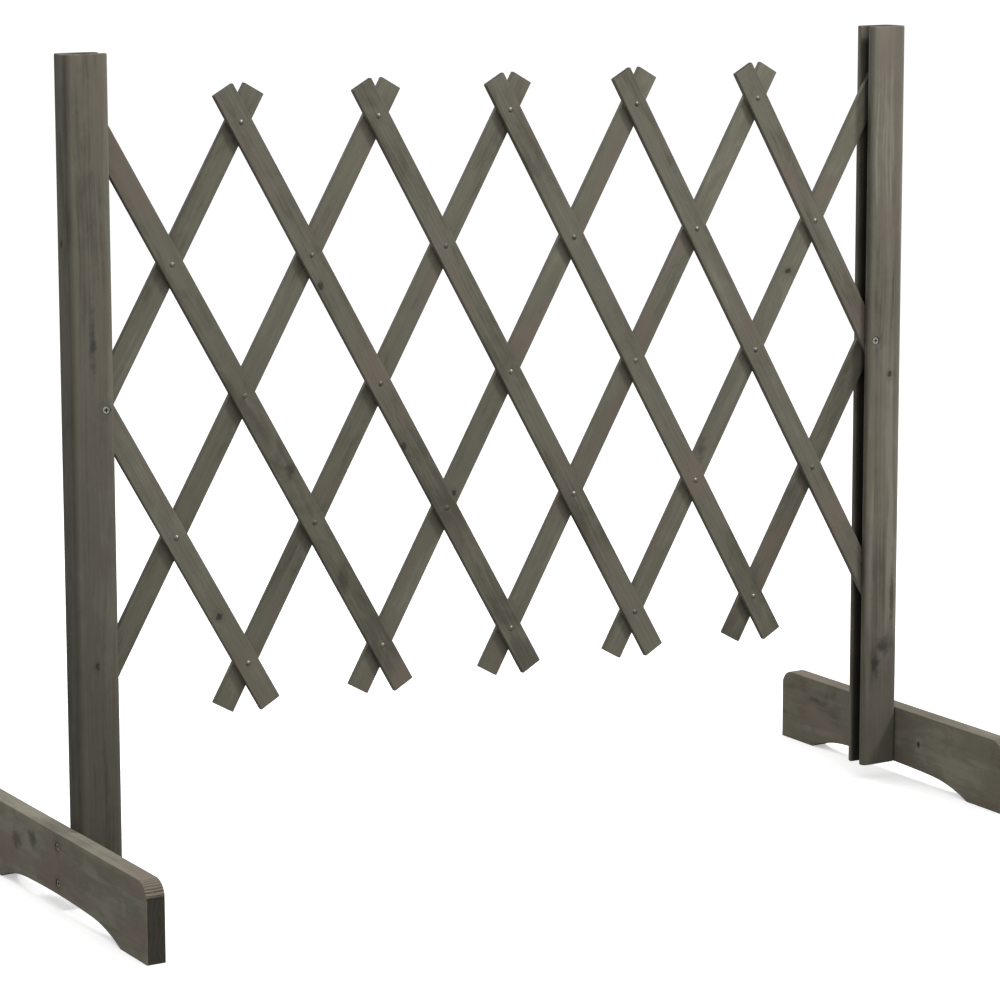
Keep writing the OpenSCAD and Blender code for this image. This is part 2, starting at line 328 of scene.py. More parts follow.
def makeWoodGroup(spec):
    # grain along Z: growth rings round a pith, streaks and fibres drawn out along the grain, cloudy stain and
    # smudges; tone runs from the dark to the pale stain
    names = (("Position", "Vector"), ("Grey", "Color"), ("Pale", "Color"), ("Dark", "Color"),
             ("Warm", "Color"), ("Figure", "Float"), ("Cloud", "Float"), ("Brush", "Float"),
             ("Tone", "Float"), ("Wear", "Float"), ("End", "Float"), ("Shade", "Float"),
             ("Knot", "Float"), ("Halo", "Float"))
    outs = (("Color", "Color"), ("Roughness", "Float"), ("Height", "Float"))
    tree, taken, given = newGroup("stainedWood", names, outs)
    place, dark = taken["Position"], taken["Dark"]
    sway = noiseOf(tree, place, spec["swayScale"], 2.0, output="Color")
    centred = vectorMaths(tree, "SUBTRACT", sway, (0.5, 0.5, 0.5))
    bent = vectorMaths(tree, "MULTIPLY_ADD", centred, spec["swayReach"], place)
    # rings: the sine of the distance from the pith, swollen round knots and crowded by noise
    flat = vectorMaths(tree, "MULTIPLY", bent, (1.0, 1.0, 0.0))
    radius = vectorMaths(tree, "LENGTH", vectorMaths(tree, "ADD", flat, spec["pith"]))
    swell = maths(tree, "MULTIPLY_ADD", taken["Halo"], spec["knotSwell"], radius)
    crowd = noiseOf(tree, bent, spec["crowdScale"], 1.0)
    swell = maths(tree, "MULTIPLY_ADD", crowd, spec["ringCrowd"], swell)
    phase = maths(tree, "MULTIPLY", swell, 2.0 * math.pi / spec["ringPitch"])
    ring = maths(tree, "MULTIPLY_ADD", maths(tree, "SINE", phase), 0.5, 0.5)
    lateWood = maths(tree, "POWER", ring, 2.2)
    # streaks, fibres, pores, clouds and smudges
    streak = noiseOf(tree, bent, spec["streakScale"], 4.0, 0.62)
    fibre = noiseOf(tree, bent, spec["fibreScale"], 3.0, 0.6)
    pore = noiseOf(tree, bent, spec["poreScale"], 2.0)
    cloud = noiseOf(tree, place, spec["cloudScale"], 3.0, 0.6)
    smudge = noiseOf(tree, place, spec["smudgeScale"], 4.0, 0.6, 0.8)
    speck = noiseOf(tree, place, spec["speckScale"], 2.0)
    blush = noiseOf(tree, place, spec["blushScale"], 2.0, output="Color")
    blushShare = addNode(tree, "ShaderNodeSeparateColor", {0: blush}).outputs[2]
    stroke = noiseOf(tree, bent, spec["strokeScale"], 2.0)
    # tone: grain times its figure, drift times its cloud, and brush strokes
    grain = maths(tree, "MULTIPLY", maths(tree, "SUBTRACT", streak, 0.5), spec["streakShare"])
    grain = maths(tree, "MULTIPLY_ADD", maths(tree, "SUBTRACT", fibre, 0.5), spec["fibreShare"], grain)
    grain = maths(tree, "MULTIPLY_ADD", maths(tree, "SUBTRACT", lateWood, 0.3), spec["ringShare"], grain)
    tone = maths(tree, "MULTIPLY_ADD", grain, taken["Figure"], maths(tree, "ADD", taken["Tone"], 0.5))
    drift = maths(tree, "SUBTRACT", cloud, 0.5)
    drift = maths(tree, "MULTIPLY_ADD", maths(tree, "SUBTRACT", smudge, 0.5), spec["smudgeShare"], drift)
    tone = maths(tree, "MULTIPLY_ADD", drift, taken["Cloud"], tone)
    tone = maths(tree, "MULTIPLY_ADD", ramped(tree, stroke, 0.5, 0.68), taken["Brush"], tone)
    # colours
    colour = mixed(tree, ramped(tree, tone, 0.05, 0.5), dark, taken["Grey"])
    colour = mixed(tree, ramped(tree, tone, 0.5, 0.95), colour, taken["Pale"])
    colour = mixed(tree, ramped(tree, blushShare, 0.48, 0.68, 0.0, 0.8), colour, taken["Warm"])
    poreMask = ramped(tree, pore, 0.62, 0.74, 0.0, 0.35)
    colour = mixed(tree, poreMask, colour, dark)
    colour = mixed(tree, ramped(tree, speck, 0.70, 0.78, 0.0, 0.4), colour, dark)
    # end grain is darker, with the rings across it
    endTone = maths(tree, "MULTIPLY_ADD", ring, 0.06, 0.17)
    soaked = mixed(tree, endTone, (0.0, 0.0, 0.0, 1.0), taken["Grey"])
    colour = mixed(tree, taken["End"], colour, soaked)
    # knots, rubbed edges, and the Shade input: dark stains, darkening towards the bottom and painted shade
    colour = mixed(tree, maths(tree, "MULTIPLY", taken["Halo"], 0.3), colour, dark)
    knotTone = mixed(tree, ramped(tree, fibre, 0.3, 0.7, 0.1, 0.5), spec["knotCore"], dark)
    colour = mixed(tree, maths(tree, "MULTIPLY", taken["Knot"], 0.9), colour, knotTone)
    rubbed = maths(tree, "MULTIPLY", taken["Wear"], ramped(tree, streak, 0.35, 0.62, 0.1, 0.6))
    rubbed = maths(tree, "MULTIPLY", rubbed, maths(tree, "SUBTRACT", 1.0, taken["End"]))
    colour = mixed(tree, rubbed, colour, taken["Pale"])
    colour = mixed(tree, taken["Shade"], colour, spec["shadeTone"])
    tree.links.new(colour, given["Color"])
    mottle = maths(tree, "MULTIPLY_ADD", smudge, 0.5, maths(tree, "MULTIPLY", fibre, 0.5))
    tree.links.new(ramped(tree, mottle, 0.3, 0.7, *spec["roughness"]), given["Roughness"])
    height = maths(tree, "MULTIPLY_ADD", lateWood, 0.25, maths(tree, "MULTIPLY", fibre, 0.5))
    height = maths(tree, "MULTIPLY_ADD", streak, 0.35, height)
    height = maths(tree, "MULTIPLY_ADD", poreMask, -0.5, height)
    height = maths(tree, "MULTIPLY_ADD", taken["Knot"], -0.35, height)
    tree.links.new(height, given["Height"])
    return tree


ridgeFigure = {
    "roughScale": (60.0, 160.0, 160.0),
    "roughReach": 0.14,    # radians that the lines stray
    "line": (0.05, 0.6),   # sines over which a line fades
    "lowest": -0.001,      # the lines keep to the corner: height and distance from its centre
    "nearest": 0.0015,
}


def makeRidgeGroup(spec):
    # saw ridges round a corner: the angle about the corner's centre, past the first dip and times a count, gives
    # thin lines where its sine is near zero, at the ridges' hollows, where they carry painted shade; Corner is
    # (ignored, distance from the middle, height)
    names = (("Position", "Vector"), ("Corner", "Vector"), ("First", "Float"), ("Count", "Float"))
    tree, taken, given = newGroup("sawRidges", names, (("Mask", "Float"),))
    lifted = vectorMaths(tree, "ABSOLUTE", taken["Position"])
    parts = axesOf(tree, vectorMaths(tree, "SUBTRACT", lifted, taken["Corner"]))
    rough = noiseOf(tree, taken["Position"], spec["roughScale"], 2.0)
    angle = maths(tree, "SUBTRACT", maths(tree, "ARCTAN2", parts["Z"], parts["Y"]), taken["First"])
    angle = maths(tree, "MULTIPLY_ADD", maths(tree, "SUBTRACT", rough, 0.5), spec["roughReach"], angle)
    wave = maths(tree, "ABSOLUTE", maths(tree, "SINE", maths(tree, "MULTIPLY", angle, taken["Count"])))
    above = maths(tree, "GREATER_THAN", parts["Z"], spec["lowest"])
    beyond = maths(tree, "GREATER_THAN", parts["Y"], spec["nearest"])
    inside = maths(tree, "MULTIPLY", above, beyond)
    line = ramped(tree, wave, *spec["line"], 1.0, 0.0)
    tree.links.new(maths(tree, "MULTIPLY", line, inside), given["Mask"])
    return tree


zincFigure = {
    "cloudScale": (420.0, 420.0, 420.0),
    "dentScale": (900.0, 900.0, 900.0),
    "spotScale": (60.0, 60.0, 60.0),
    "grimeTone": (0.012, 0.011, 0.009, 1.0),
    "roughness": (0.62, 0.38),
    "bump": 0.35,
    "bumpDistance": 0.0003,
    "grimeDepths": (0.0009, 0.0001),    # under a head's face, where grime is full and where it starts
    "grimeShare": 0.92,
}


def makeZincGroup(spec):
    # dull zinc: cloudy oxide, fine hammering, grime gathered in low places
    names = (("Position", "Vector"), ("Bright", "Color"), ("Oxide", "Color"), ("Grime", "Float"))
    outs = (("Color", "Color"), ("Roughness", "Float"), ("Height", "Float"))
    tree, taken, given = newGroup("dullZinc", names, outs)
    place = taken["Position"]
    cloud = noiseOf(tree, place, spec["cloudScale"], 3.0, 0.65)
    dent = noiseOf(tree, place, spec["dentScale"], 2.0)
    spot = noiseOf(tree, place, spec["spotScale"], 1.0)
    share = maths(tree, "MULTIPLY_ADD", spot, 0.5, maths(tree, "MULTIPLY", cloud, 0.5))
    colour = mixed(tree, ramped(tree, share, 0.36, 0.62), taken["Oxide"], taken["Bright"])
    colour = mixed(tree, taken["Grime"], colour, spec["grimeTone"])
    tree.links.new(colour, given["Color"])
    tree.links.new(ramped(tree, share, 0.35, 0.65, *spec["roughness"]), given["Roughness"])
    hammered = maths(tree, "MULTIPLY_ADD", dent, 0.6, maths(tree, "MULTIPLY", cloud, 0.4))
    tree.links.new(hammered, given["Height"])
    return tree


knotGroup = makeKnotGroup(knotFigure)
woodGroup = makeWoodGroup(woodFigure)
ridgeGroup = makeRidgeGroup(ridgeFigure)
zincGroup = makeZincGroup(zincFigure)


def markOf(tree, position, centre, reach):
    return useGroup(tree, knotGroup, {"Position": position, "Centre": centre, "Reach": reach})


def newMaterial(name):
    made = bpy.data.materials.new(name)
    made.use_nodes = True
    return made, made.node_tree, made.node_tree.nodes["Principled BSDF"]


def dress(tree, shader, outs, relief, strength, distance):
    # colour and roughness as they come, relief through a bump
    tree.links.new(outs["Color"], shader.inputs["Base Color"])
    tree.links.new(outs["Roughness"], shader.inputs["Roughness"])
    bump = addNode(tree, "ShaderNodeBump", {"Height": relief, "Strength": strength, "Distance": distance})
    tree.links.new(bump.outputs["Normal"], shader.inputs["Normal"])


def woodMaterial(name, spec, grain, knots, smudges):
    # grain is the Mapping turn that lays the piece's length along Z; smudges are soft dark stains
    made, tree, shader = newMaterial(name)
    where = addNode(tree, "ShaderNodeTexCoord").outputs
    position, normal = where["Object"], where["Normal"]
    turned = addNode(tree, "ShaderNodeMapping", {"Vector": position, "Rotation": grain}).outputs[0]
    facing = addNode(tree, "ShaderNodeMapping", {"Vector": normal, "Rotation": grain}).outputs[0]
    along = maths(tree, "ABSOLUTE", axesOf(tree, facing)["Z"])
    end = ramped(tree, along, *spec["endFacing"], 0.0, spec["endShade"])
    axes = axesOf(tree, position)
    # darker towards the bottom: full darkening at the first height and below, none above the second
    bottomDarkening = ramped(tree, axes["Z"], *spec["bottomDarkeningHeights"], spec["bottomDarkening"], 0.0)
    wear = attributeOf(tree, "wear")
    mask = 0.0
    halo = 0.0
    # the knots here also hold the painted shadow rings round screw heads
    for centre, reach in knots:
        outs = markOf(tree, position, centre, reach)
        mask = maths(tree, "MAXIMUM", outs["Mask"], mask)
        halo = maths(tree, "MAXIMUM", outs["Halo"], halo)
    for centre, reach, strength in spec.get("collars", ()):
        collar = maths(tree, "MULTIPLY", markOf(tree, position, centre, reach)["Collar"], strength)
        wear = maths(tree, "MAXIMUM", wear, collar)
    # painted shade in a post's groove, or along a lath's long edges, comes in as the groove attribute
    shade = maths(tree, "MAXIMUM", bottomDarkening, attributeOf(tree, "groove"))
    for centre, reach, strength in smudges:
        smudge = markOf(tree, position, centre, reach)["Smudge"]
        shade = maths(tree, "MAXIMUM", maths(tree, "MULTIPLY_ADD", smudge, strength, bottomDarkening), shade)
    # painted shadow of the groove's front lip on a lath's end inside the groove
    if "slotShadow" in spec:
        sideways = maths(tree, "ABSOLUTE", axes["X"])
        shade = maths(tree, "MAXIMUM", shade, ramped(tree, sideways, *spec["slotShadow"]))
    # painted shade in the hollows of the saw ridges on the feet's round corners; the same lines deepen the bump
    if "ridges" in spec:
        onSide = maths(tree, "ABSOLUTE", axesOf(tree, normal)["X"])
        ridge = useGroup(tree, ridgeGroup, {"Position": position, **spec["ridges"]})["Mask"]
        ridge = maths(tree, "MULTIPLY", ridge, ramped(tree, onSide, *spec["ridgeFacing"], 1.0, 0.0))
        shade = maths(tree, "MULTIPLY_ADD", ridge, spec["ridgeShade"], shade)
    inputs = {"Position": turned, "Wear": wear, "Tone": attributeOf(tree, "tone"), "End": end, "Shade": shade,
              "Knot": mask, "Halo": halo}
    for key in ("figure", "cloud", "brush"):
        inputs[key.capitalize()] = spec[key]
    for key in ("grey", "pale", "dark", "warm"):
        inputs[key.capitalize()] = (*spec[key], 1.0)
    wood = useGroup(tree, woodGroup, inputs)
    relief = wood["Height"]
    if "ridges" in spec:
        relief = maths(tree, "MULTIPLY_ADD", ridge, spec["ridgeRelief"], relief)
    dress(tree, shader, wood, relief, spec["bump"], woodFigure["bumpDistance"])
    shader.inputs["Specular IOR Level"].default_value = spec["sheen"]
    return made


def zincMaterial(name, spec):
    made, tree, shader = newMaterial(name)
    where = addNode(tree, "ShaderNodeTexCoord").outputs["Object"]
    inputs = {"Position": where, "Bright": (*spec["bright"], 1.0), "Oxide": (*spec["oxide"], 1.0)}
    if "recess" in spec:
        # grime fills the cross recess, from just under the head's face inwards
        axis, face = spec["recess"]
        full, start = zincFigure["grimeDepths"]
        outward = maths(tree, "ABSOLUTE", axesOf(tree, where)[axis])
        inputs["Grime"] = ramped(tree, outward, face - full, face - start, zincFigure["grimeShare"], 0.0)
    zinc = useGroup(tree, zincGroup, inputs)
    dress(tree, shader, zinc, zinc["Height"], zincFigure["bump"], zincFigure["bumpDistance"])
    shader.inputs["Metallic"].default_value = 1.0
    return made


# surfaces shared by posts, feet and laths
def roundOutline(low, high, radius, cornerSteps, flatSteps):
    # rectangle with quarter-circle corners, anticlockwise from its lower left, flats split evenly;
    # low and high are (stations, 2) corners, so each station has its own rectangle
    turn = np.linspace(0.0, 0.5 * math.pi, cornerSteps)
    corners = ((0, 0, math.pi), (1, 0, 1.5 * math.pi), (1, 1, 0.0), (0, 1, 0.5 * math.pi))
    arcs = []
    for sideX, sideY, start in corners:
        centreX = np.where(sideX, high[:, 0] - radius, low[:, 0] + radius)
        centreY = np.where(sideY, high[:, 1] - radius, low[:, 1] + radius)
        px = centreX[:, None] + radius * np.cos(start + turn)
        py = centreY[:, None] + radius * np.sin(start + turn)
        arcs.append(np.stack((px, py), -1))
    parts = []
    share = np.linspace(0.0, 1.0, flatSteps + 1)[1:-1, None]
    for index, arc in enumerate(arcs):
        after = arcs[(index + 1) % 4]
        parts.append(arc)
        parts.append(arc[:, -1:] * (1.0 - share) + after[:, :1] * share)
    return np.concatenate(parts, 1)


def easedEnds(length, ease, steps, pitch):
    # stations along a stick, and how far its outline draws in at each: a quarter circle at both ends
    turn = np.linspace(0.0, 0.5 * math.pi, steps)
    rise = ease * (1.0 - np.cos(turn))
    inwards = ease * (1.0 - np.sin(turn))
    middle = np.linspace(ease, length - ease, max(int(length / pitch), 3))[1:-1]
    along = np.concatenate((rise, middle, length - rise[::-1]))
    drawn = np.concatenate((inwards, np.zeros(len(middle)), inwards[::-1]))
    return along, drawn


def tubeFaces(stations, points):
    # quads between neighbouring rings, one face over each end
    index = np.arange(stations * points).reshape(stations, points)
    after = np.roll(index, -1, 1)
    quads = np.stack((index[:-1], after[:-1], after[1:], index[1:]), -1).reshape(-1, 4)
    return quads.tolist() + [index[0, ::-1].tolist(), index[-1].tolist()]


def carried(name, rings, along, **fields):
    # a closed outline carried along a straight path: rings (stations, points, 2) at heights along, both ends
    # closed; fields are kept as attributes of the surface
    stations, points = rings.shape[:2]
    heights = np.broadcast_to(along[:, None, None], (stations, points, 1))
    vertices = np.concatenate((rings, heights), -1).reshape(-1, 3)
    made = makeMesh(name, vertices.tolist(), tubeFaces(stations, points))
    for field, values in fields.items():
        layer = made.data.attributes.new(field, "FLOAT", "POINT")
        spread = np.broadcast_to(values, (stations, points)).astype(np.float32)
        layer.data.foreach_set("value", spread.ravel())
    return made


def drilled(piece, cutter):
    # holes cut exactly, then the cutter goes away
    cut = piece.modifiers.new("holes", "BOOLEAN")
    cut.operation = "DIFFERENCE"
    cut.solver = "EXACT"
    cut.object = cutter
    bpy.context.view_layer.update()
    graph = bpy.context.evaluated_depsgraph_get()
    mesh = bpy.data.meshes.new_from_object(piece.evaluated_get(graph))
    piece.modifiers.clear()
    piece.data = mesh
    bpy.data.objects.remove(cutter)


def turnedCutters(name, profile, places, toWorld, count=28):
    # a profile of (radius, depth) turned about its axis, repeated at each place; toWorld lays the axis
    around = (np.arange(count) + 0.5) * 2.0 * math.pi / count    # half a step off the piece's own lines
    outline = np.array(profile)
    radii, depths = outline[:, :1], np.broadcast_to(outline[:, 1:], (len(outline), count))
    shape = np.stack((radii * np.cos(around), radii * np.sin(around), depths), -1).reshape(-1, 3)
    faces = tubeFaces(len(outline), count)
    vertices = np.concatenate([shape @ toWorld.T + np.array(place) for place in places])
    every = []
    for copy in range(len(places)):
        every.extend([corner + len(shape) * copy for corner in face] for face in faces)
    return makeMesh(name, vertices.tolist(), every)


def countersunk(spec, past=0.002):
    # shank to the sink, a cone of 45 degrees to the head, and straight out past the face
    head, shank, sink = spec["screwHead"] / 2.0, spec["screwShank"] / 2.0, spec["screwSink"]
    return (shank, -spec["screwDepth"]), (shank, -sink - head + shank), (head, -sink), (head, past)


toFront = np.array(((1.0, 0.0, 0.0), (0.0, 0.0, -1.0), (0.0, 1.0, 0.0)))    # an axis along -Y


def finished(piece, node, material, smoothAngle=40.0):
    mesh = piece.data
    mesh.materials.clear()
    mesh.materials.append(material)
    mesh.polygons.foreach_set("use_smooth", np.ones(len(mesh.polygons), dtype=bool))
    mesh.set_sharp_from_angle(angle=math.radians(smoothAngle))
    flats = piece.modifiers.new("flatFaces", "WEIGHTED_NORMAL")
    flats.keep_sharp = True
    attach(piece, bodyOf[node])
    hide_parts(node)


# laths
lath = {
    "edgeRadius": 0.00098,
    "cornerSteps": 5,
    "flatSteps": 13,
    "endEase": 0.0007,
    "endSteps": 5,
    "stationPitch": 0.02,
    "holeDiameter": 0.0033,
    "holeRows": 4,          # at most, each way from the middle row
    "holeMargin": 0.012,    # no hole nearer than this to an end
    "drillReach": 0.02,
    "wear": 0.3,
    "wearReach": 0.0022,
    "edgeReach": 0.0024,
    "edgeShade": 0.10,      # painted shade along the long edges
    "tone": -0.07,
    "toneSpread": 0.16,     # how far one lath's stain differs from the next
    "toneTurns": (37.0, 5.0),
    "slotShadowReach": (-0.001, 0.004),    # painted shadow where a lath's end slides in a groove, from its mouth
    "slotShadowStrength": 0.6,
    "shared": {"figure": 0.38, "cloud": 1.25, "brush": 0.14, "endFacing": (0.75, 0.95), "endShade": 0.7,
               "bottomDarkeningHeights": (0.40, 0.78), "bump": 0.5, "sheen": 0.28},
    "front": {"grey": (0.127, 0.117, 0.089), "pale": (0.172, 0.160, 0.125), "dark": (0.070, 0.063, 0.046),
              "warm": (0.138, 0.115, 0.091), "bottomDarkening": 0.05},
    "rear": {"grey": (0.127, 0.118, 0.088), "pale": (0.174, 0.164, 0.126), "dark": (0.068, 0.062, 0.045),
             "warm": (0.136, 0.114, 0.089), "bottomDarkening": 0.15},
    # a knot is a centre and a reach, a smudge has its strength too
    "frontKnots": (((-0.3641, -0.0067, 0.2963), (0.0045, 0.006, 0.0045)),
                   ((-0.2379, -0.0067, 0.6434), (0.0042, 0.006, 0.0052)),
                   ((-0.1367, -0.0067, 0.4609), (0.0036, 0.006, 0.0052)),
                   ((0.2310, -0.0067, 0.4420), (0.002, 0.006, 0.003))),
    "frontSmudges": (((-0.2767, -0.0067, 0.4461), (0.006, 0.010, 0.009), 0.52),
                     ((-0.2132, -0.0067, 0.3186), (0.006, 0.010, 0.013), 0.24),
                     ((0.0346, -0.0067, 0.7637), (0.004, 0.010, 0.020), 0.20)),
    "rearKnots": (((0.3797, 0.0002, 0.6203), (0.0052, 0.006, 0.0034)),
                  ((-0.0701, 0.0002, 0.4016), (0.003, 0.006, 0.004)),
                  ((0.0830, 0.0067, 0.6550), (0.004, 0.005, 0.005))),
    "rearSmudges": (((-0.1900, 0.0002, 0.6100), (0.005, 0.010, 0.014), 0.36),
                    ((0.2600, 0.0002, 0.4200), (0.005, 0.010, 0.012), 0.36)),
}


def latticePitch():
    # lean and hole spacing, from two neighbouring pivots on the first rear lath
    first = Vector(joints["panel_fold"]["pos_m"])
    second = Vector(joints["front_lath_2_pivot"]["pos_m"])
    step = second - first
    return math.atan2(step.x, step.z), step.length


latticeLean, holePitch = latticePitch()
pivotHeight = joints["panel_fold"]["pos_m"][2]


def layLath(node, lean, spec, material):
    # the box of a leaning stick gives its length and width: box = length along the lean + width across it
    low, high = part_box(node)
    size, centre = high - low, (high + low) / 2.0
    sine, cosine = abs(math.sin(lean)), math.cos(lean)
    spread = cosine * cosine - sine * sine
    width = (size.x * cosine - size.z * sine) / spread
    length = (size.z * cosine - size.x * sine) / spread
    along, drawn = easedEnds(length, spec["endEase"], spec["endSteps"], spec["stationPitch"])
    half = np.stack((width / 2.0 - drawn, size.y / 2.0 - drawn), -1)
    rings = roundOutline(-half, half, spec["edgeRadius"], spec["cornerSteps"], spec["flatSteps"])
    fromSide = width / 2.0 - np.abs(rings[..., 0])
    fromEnd = np.minimum(along, length - along)[:, None]
    wear = spec["wear"] * np.clip(1.0 - np.minimum(fromSide, fromEnd) / spec["wearReach"], 0.0, 1.0)
    # painted shade along the long edges, carried in the groove attribute
    edge = spec["edgeShade"] * np.clip(1.0 - fromSide / spec["edgeReach"], 0.0, 1.0)
    # a sine of the place and the lean scatters the tones
    byPlace, byLean = spec["toneTurns"]
    tone = spec["tone"] + spec["toneSpread"] * math.sin(byPlace * centre.x + byLean * lean)
    piece = carried(node + "_wood", rings, along - length / 2.0, wear=wear, tone=tone, groove=edge)
    turn = Matrix.Rotation(lean, 4, "Y")
    piece.data.transform(Matrix.Translation(centre) @ turn)
    # holes at every pivot spacing from the middle row
    direction = Vector((math.sin(lean), 0.0, math.cos(lean)))
    start = (pivotHeight - centre.z) / direction.z
    offsets = start + np.arange(-spec["holeRows"], spec["holeRows"] + 1) * holePitch
    offsets = offsets[np.abs(offsets) < length / 2.0 - spec["holeMargin"]]
    places = [tuple(centre + direction * float(offset)) for offset in offsets]
    radius, reach = spec["holeDiameter"] / 2.0, spec["drillReach"]
    drilled(piece, turnedCutters("lathHoles", ((radius, -reach), (radius, reach)), places, toFront))
    finished(piece, node, material)


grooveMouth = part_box("right_post")[0].x
slotShadowStart, slotShadowFull = (grooveMouth + reach for reach in lath["slotShadowReach"])
slotShadow = {"slotShadow": (slotShadowStart, slotShadowFull, 0.0, lath["slotShadowStrength"])}
for key, grain in (("front", latticeLean), ("rear", -latticeLean)):
    stain = {**lath["shared"], **lath[key], **slotShadow}
    marks = lath[key + "Knots"], lath[key + "Smudges"]
    materialName = "greyStain" + key.capitalize() + "Lath"
    lath[key + "Wood"] = woodMaterial(materialName, stain, (0.0, grain, 0.0), *marks)
for node in sorted(frame["nodes"]):
    if node.startswith("front_lath"):
        layLath(node, -latticeLean, lath, lath["frontWood"])
    elif node.startswith("rear_lath"):
        layLath(node, latticeLean, lath, lath["rearWood"])
print("laths laid")


# posts
post = {
    "edgeRadius": 0.0060,
    "flatShares": (0.22, 0.35, 0.5, 0.65, 0.78),    # where the front and back are split
    "sideShares": (-0.3, 0.0, 0.3),                 # where the outer side is split
    "endEase": 0.0012,
    "endSteps": 6,
    "stationPitch": 0.03,
    "grooveWidth": 0.0150,
    "grooveDepth": 0.0337,
    "mouthChamfer": 0.0010,
    "screwHead": 0.0090,
    "screwSink": 0.0008,
    "screwShank": 0.0041,
    "screwDepth": 0.025,
    "wear": 0.8,
    "wearReach": 0.004,
    "wearInset": 0.0018,
    "tones": {-1: -0.12, 1: -0.16},
    # by each round corner, a painted highlight line on front and back and a painted shade line on its other side;
    # place is in edge radii
    "paintedHighlightLine": {"lift": 0.24, "place": 0.8, "reach": 0.0045, "band": 0.0025},
    "paintedShadeLine": {"drop": 0.06, "place": 1.0, "reach": 0.0065, "band": 0.0015},
    # painted shade on the groove's lips and inside the groove
    "lipShade": 0.20,
    "lipDepth": 0.0004,
    "grooveSteps": (0.0010, 0.0028, 0.0050, 0.0075, 0.0105, 0.0180),    # depths that carry the groove's painted shade
    "grooveSlack": (0.0014, 0.002),      # how far past its walls and floor the groove's painted shade may reach
    "grooveLow": {"shade": 0.80, "start": -0.0012, "full": 0.0050},
    "grooveTop": {"shade": 0.70, "start": 0.0008, "full": 0.0110},      # light comes in at the open top
    "grooveFade": 0.42,                  # height from top to low
    "leftStain": {"bottomDarkening": 0.48, "bottomDarkeningHeights": (0.02, 0.92), "brush": 0.15},
    "rightStain": {"bottomDarkening": 0.27, "bottomDarkeningHeights": (0.13, 0.21), "brush": 0.60},
    "stain": {"grey": (0.127, 0.115, 0.087), "pale": (0.180, 0.166, 0.130), "dark": (0.072, 0.064, 0.047),
              "warm": (0.134, 0.115, 0.092), "figure": 0.55, "cloud": 1.0, "endFacing": (0.75, 0.95),
              "endShade": 0.5, "bump": 0.45, "sheen": 0.3},
    "knots": (((0.5154, -0.017, 0.4908), (0.0036, 0.006, 0.0042)),
              ((-0.511, -0.017, 0.262), (0.0025, 0.006, 0.005)),
              ((-0.5329, 0.003, 0.705), (0.006, 0.003, 0.005)),
              ((0.512, 0.017, 0.610), (0.004, 0.006, 0.006))),
    "smudges": (((0.5140, -0.017, 0.164), (0.0110, 0.010, 0.0085), 0.52),
                ((0.4990, -0.017, 0.145), (0.0060, 0.010, 0.0150), 0.52),
                ((0.5236, -0.017, 0.222), (0.0030, 0.010, 0.0250), 0.52),
                ((-0.509, -0.017, 0.610), (0.0030, 0.010, 0.0300), 0.52)),
    "screwShadowReach": 0.0056,      # painted shadow round a screw head
}


def arcPoints(centreX, centreY, radius, start, steps=7):
    # quarter circle anticlockwise from an angle in quarter turns
    turn = (start + np.linspace(0.0, 1.0, steps)) * 0.5 * math.pi
    return np.stack((centreX + radius * np.cos(turn), centreY + radius * np.sin(turn)), -1)


def postOutline(width, depth, spec):
    # seen from above, inner face at zero: four round corners, the groove with chamfered lips cut into the
    # inner face
    radius, groove, cut = spec["edgeRadius"], spec["grooveWidth"] / 2.0, spec["mouthChamfer"]
    back = depth / 2.0
    wall = np.array((*spec["grooveSteps"], spec["grooveDepth"]))
    rearWall = np.stack((wall, np.full_like(wall, groove)), -1)
    frontWall = rearWall[::-1] * np.array((1.0, -1.0))
    flat = np.array(spec["flatShares"]) * width
    outer = np.array(spec["sideShares"]) * back
    return np.concatenate((
        frontWall,
        ((0.0, -groove - cut),),
        arcPoints(radius, radius - back, radius, 2.0),
        np.stack((flat, np.full_like(flat, -back)), -1),
        arcPoints(width - radius, radius - back, radius, 3.0),
        np.stack((np.full_like(outer, width), outer), -1),
        arcPoints(width - radius, back - radius, radius, 0.0),
        np.stack((flat[::-1], np.full_like(flat, back)), -1),
        arcPoints(radius, back - radius, radius, 1.0),
        ((0.0, groove + cut),),
        rearWall))


def inset(outline, amounts):
    # each corner moves inwards along the mean of its two edges' normals, stretched so both edges keep their
    # distance
    edge = np.roll(outline, -1, 0) - outline
    edge = edge / np.linalg.norm(edge, axis=1, keepdims=True)
    normal = np.stack((edge[:, 1], -edge[:, 0]), -1)
    before = np.roll(normal, 1, 0)
    bisector = (normal + before) / (1.0 + (normal * before).sum(1, keepdims=True))
    return outline[None] - amounts[:, None, None] * bisector[None]


def grooveShade(depthIn, fromMiddle, fromTop, spec):
    # painted shade on the groove walls, darker from the mouth to a full depth, sooner low down than near the open
    # top; the lips get their own painted shade
    pastWall, pastFloor = spec["grooveSlack"]
    inside = (fromMiddle < spec["grooveWidth"] / 2.0 + pastWall) & (depthIn < spec["grooveDepth"] + pastFloor)
    lowShare = np.clip(fromTop / spec["grooveFade"], 0.0, 1.0)
    level = {}
    for key, lowValue in spec["grooveLow"].items():
        level[key] = spec["grooveTop"][key] * (1.0 - lowShare) + lowValue * lowShare
    deep = np.clip((depthIn - level["start"]) / (level["full"] - level["start"]), 0.0, 1.0)
    groove = np.where(inside, level["shade"] * deep, 0.0)
    return np.where(depthIn < spec["lipDepth"], spec["lipShade"], groove)


def lineBeside(distance, across, radius, spec):
    # a soft line at a place, kept to a narrow band of the other distance
    line = np.clip(1.0 - np.abs(distance - radius * spec["place"]) / spec["reach"], 0.0, 1.0)
    return line * (across < spec["band"])


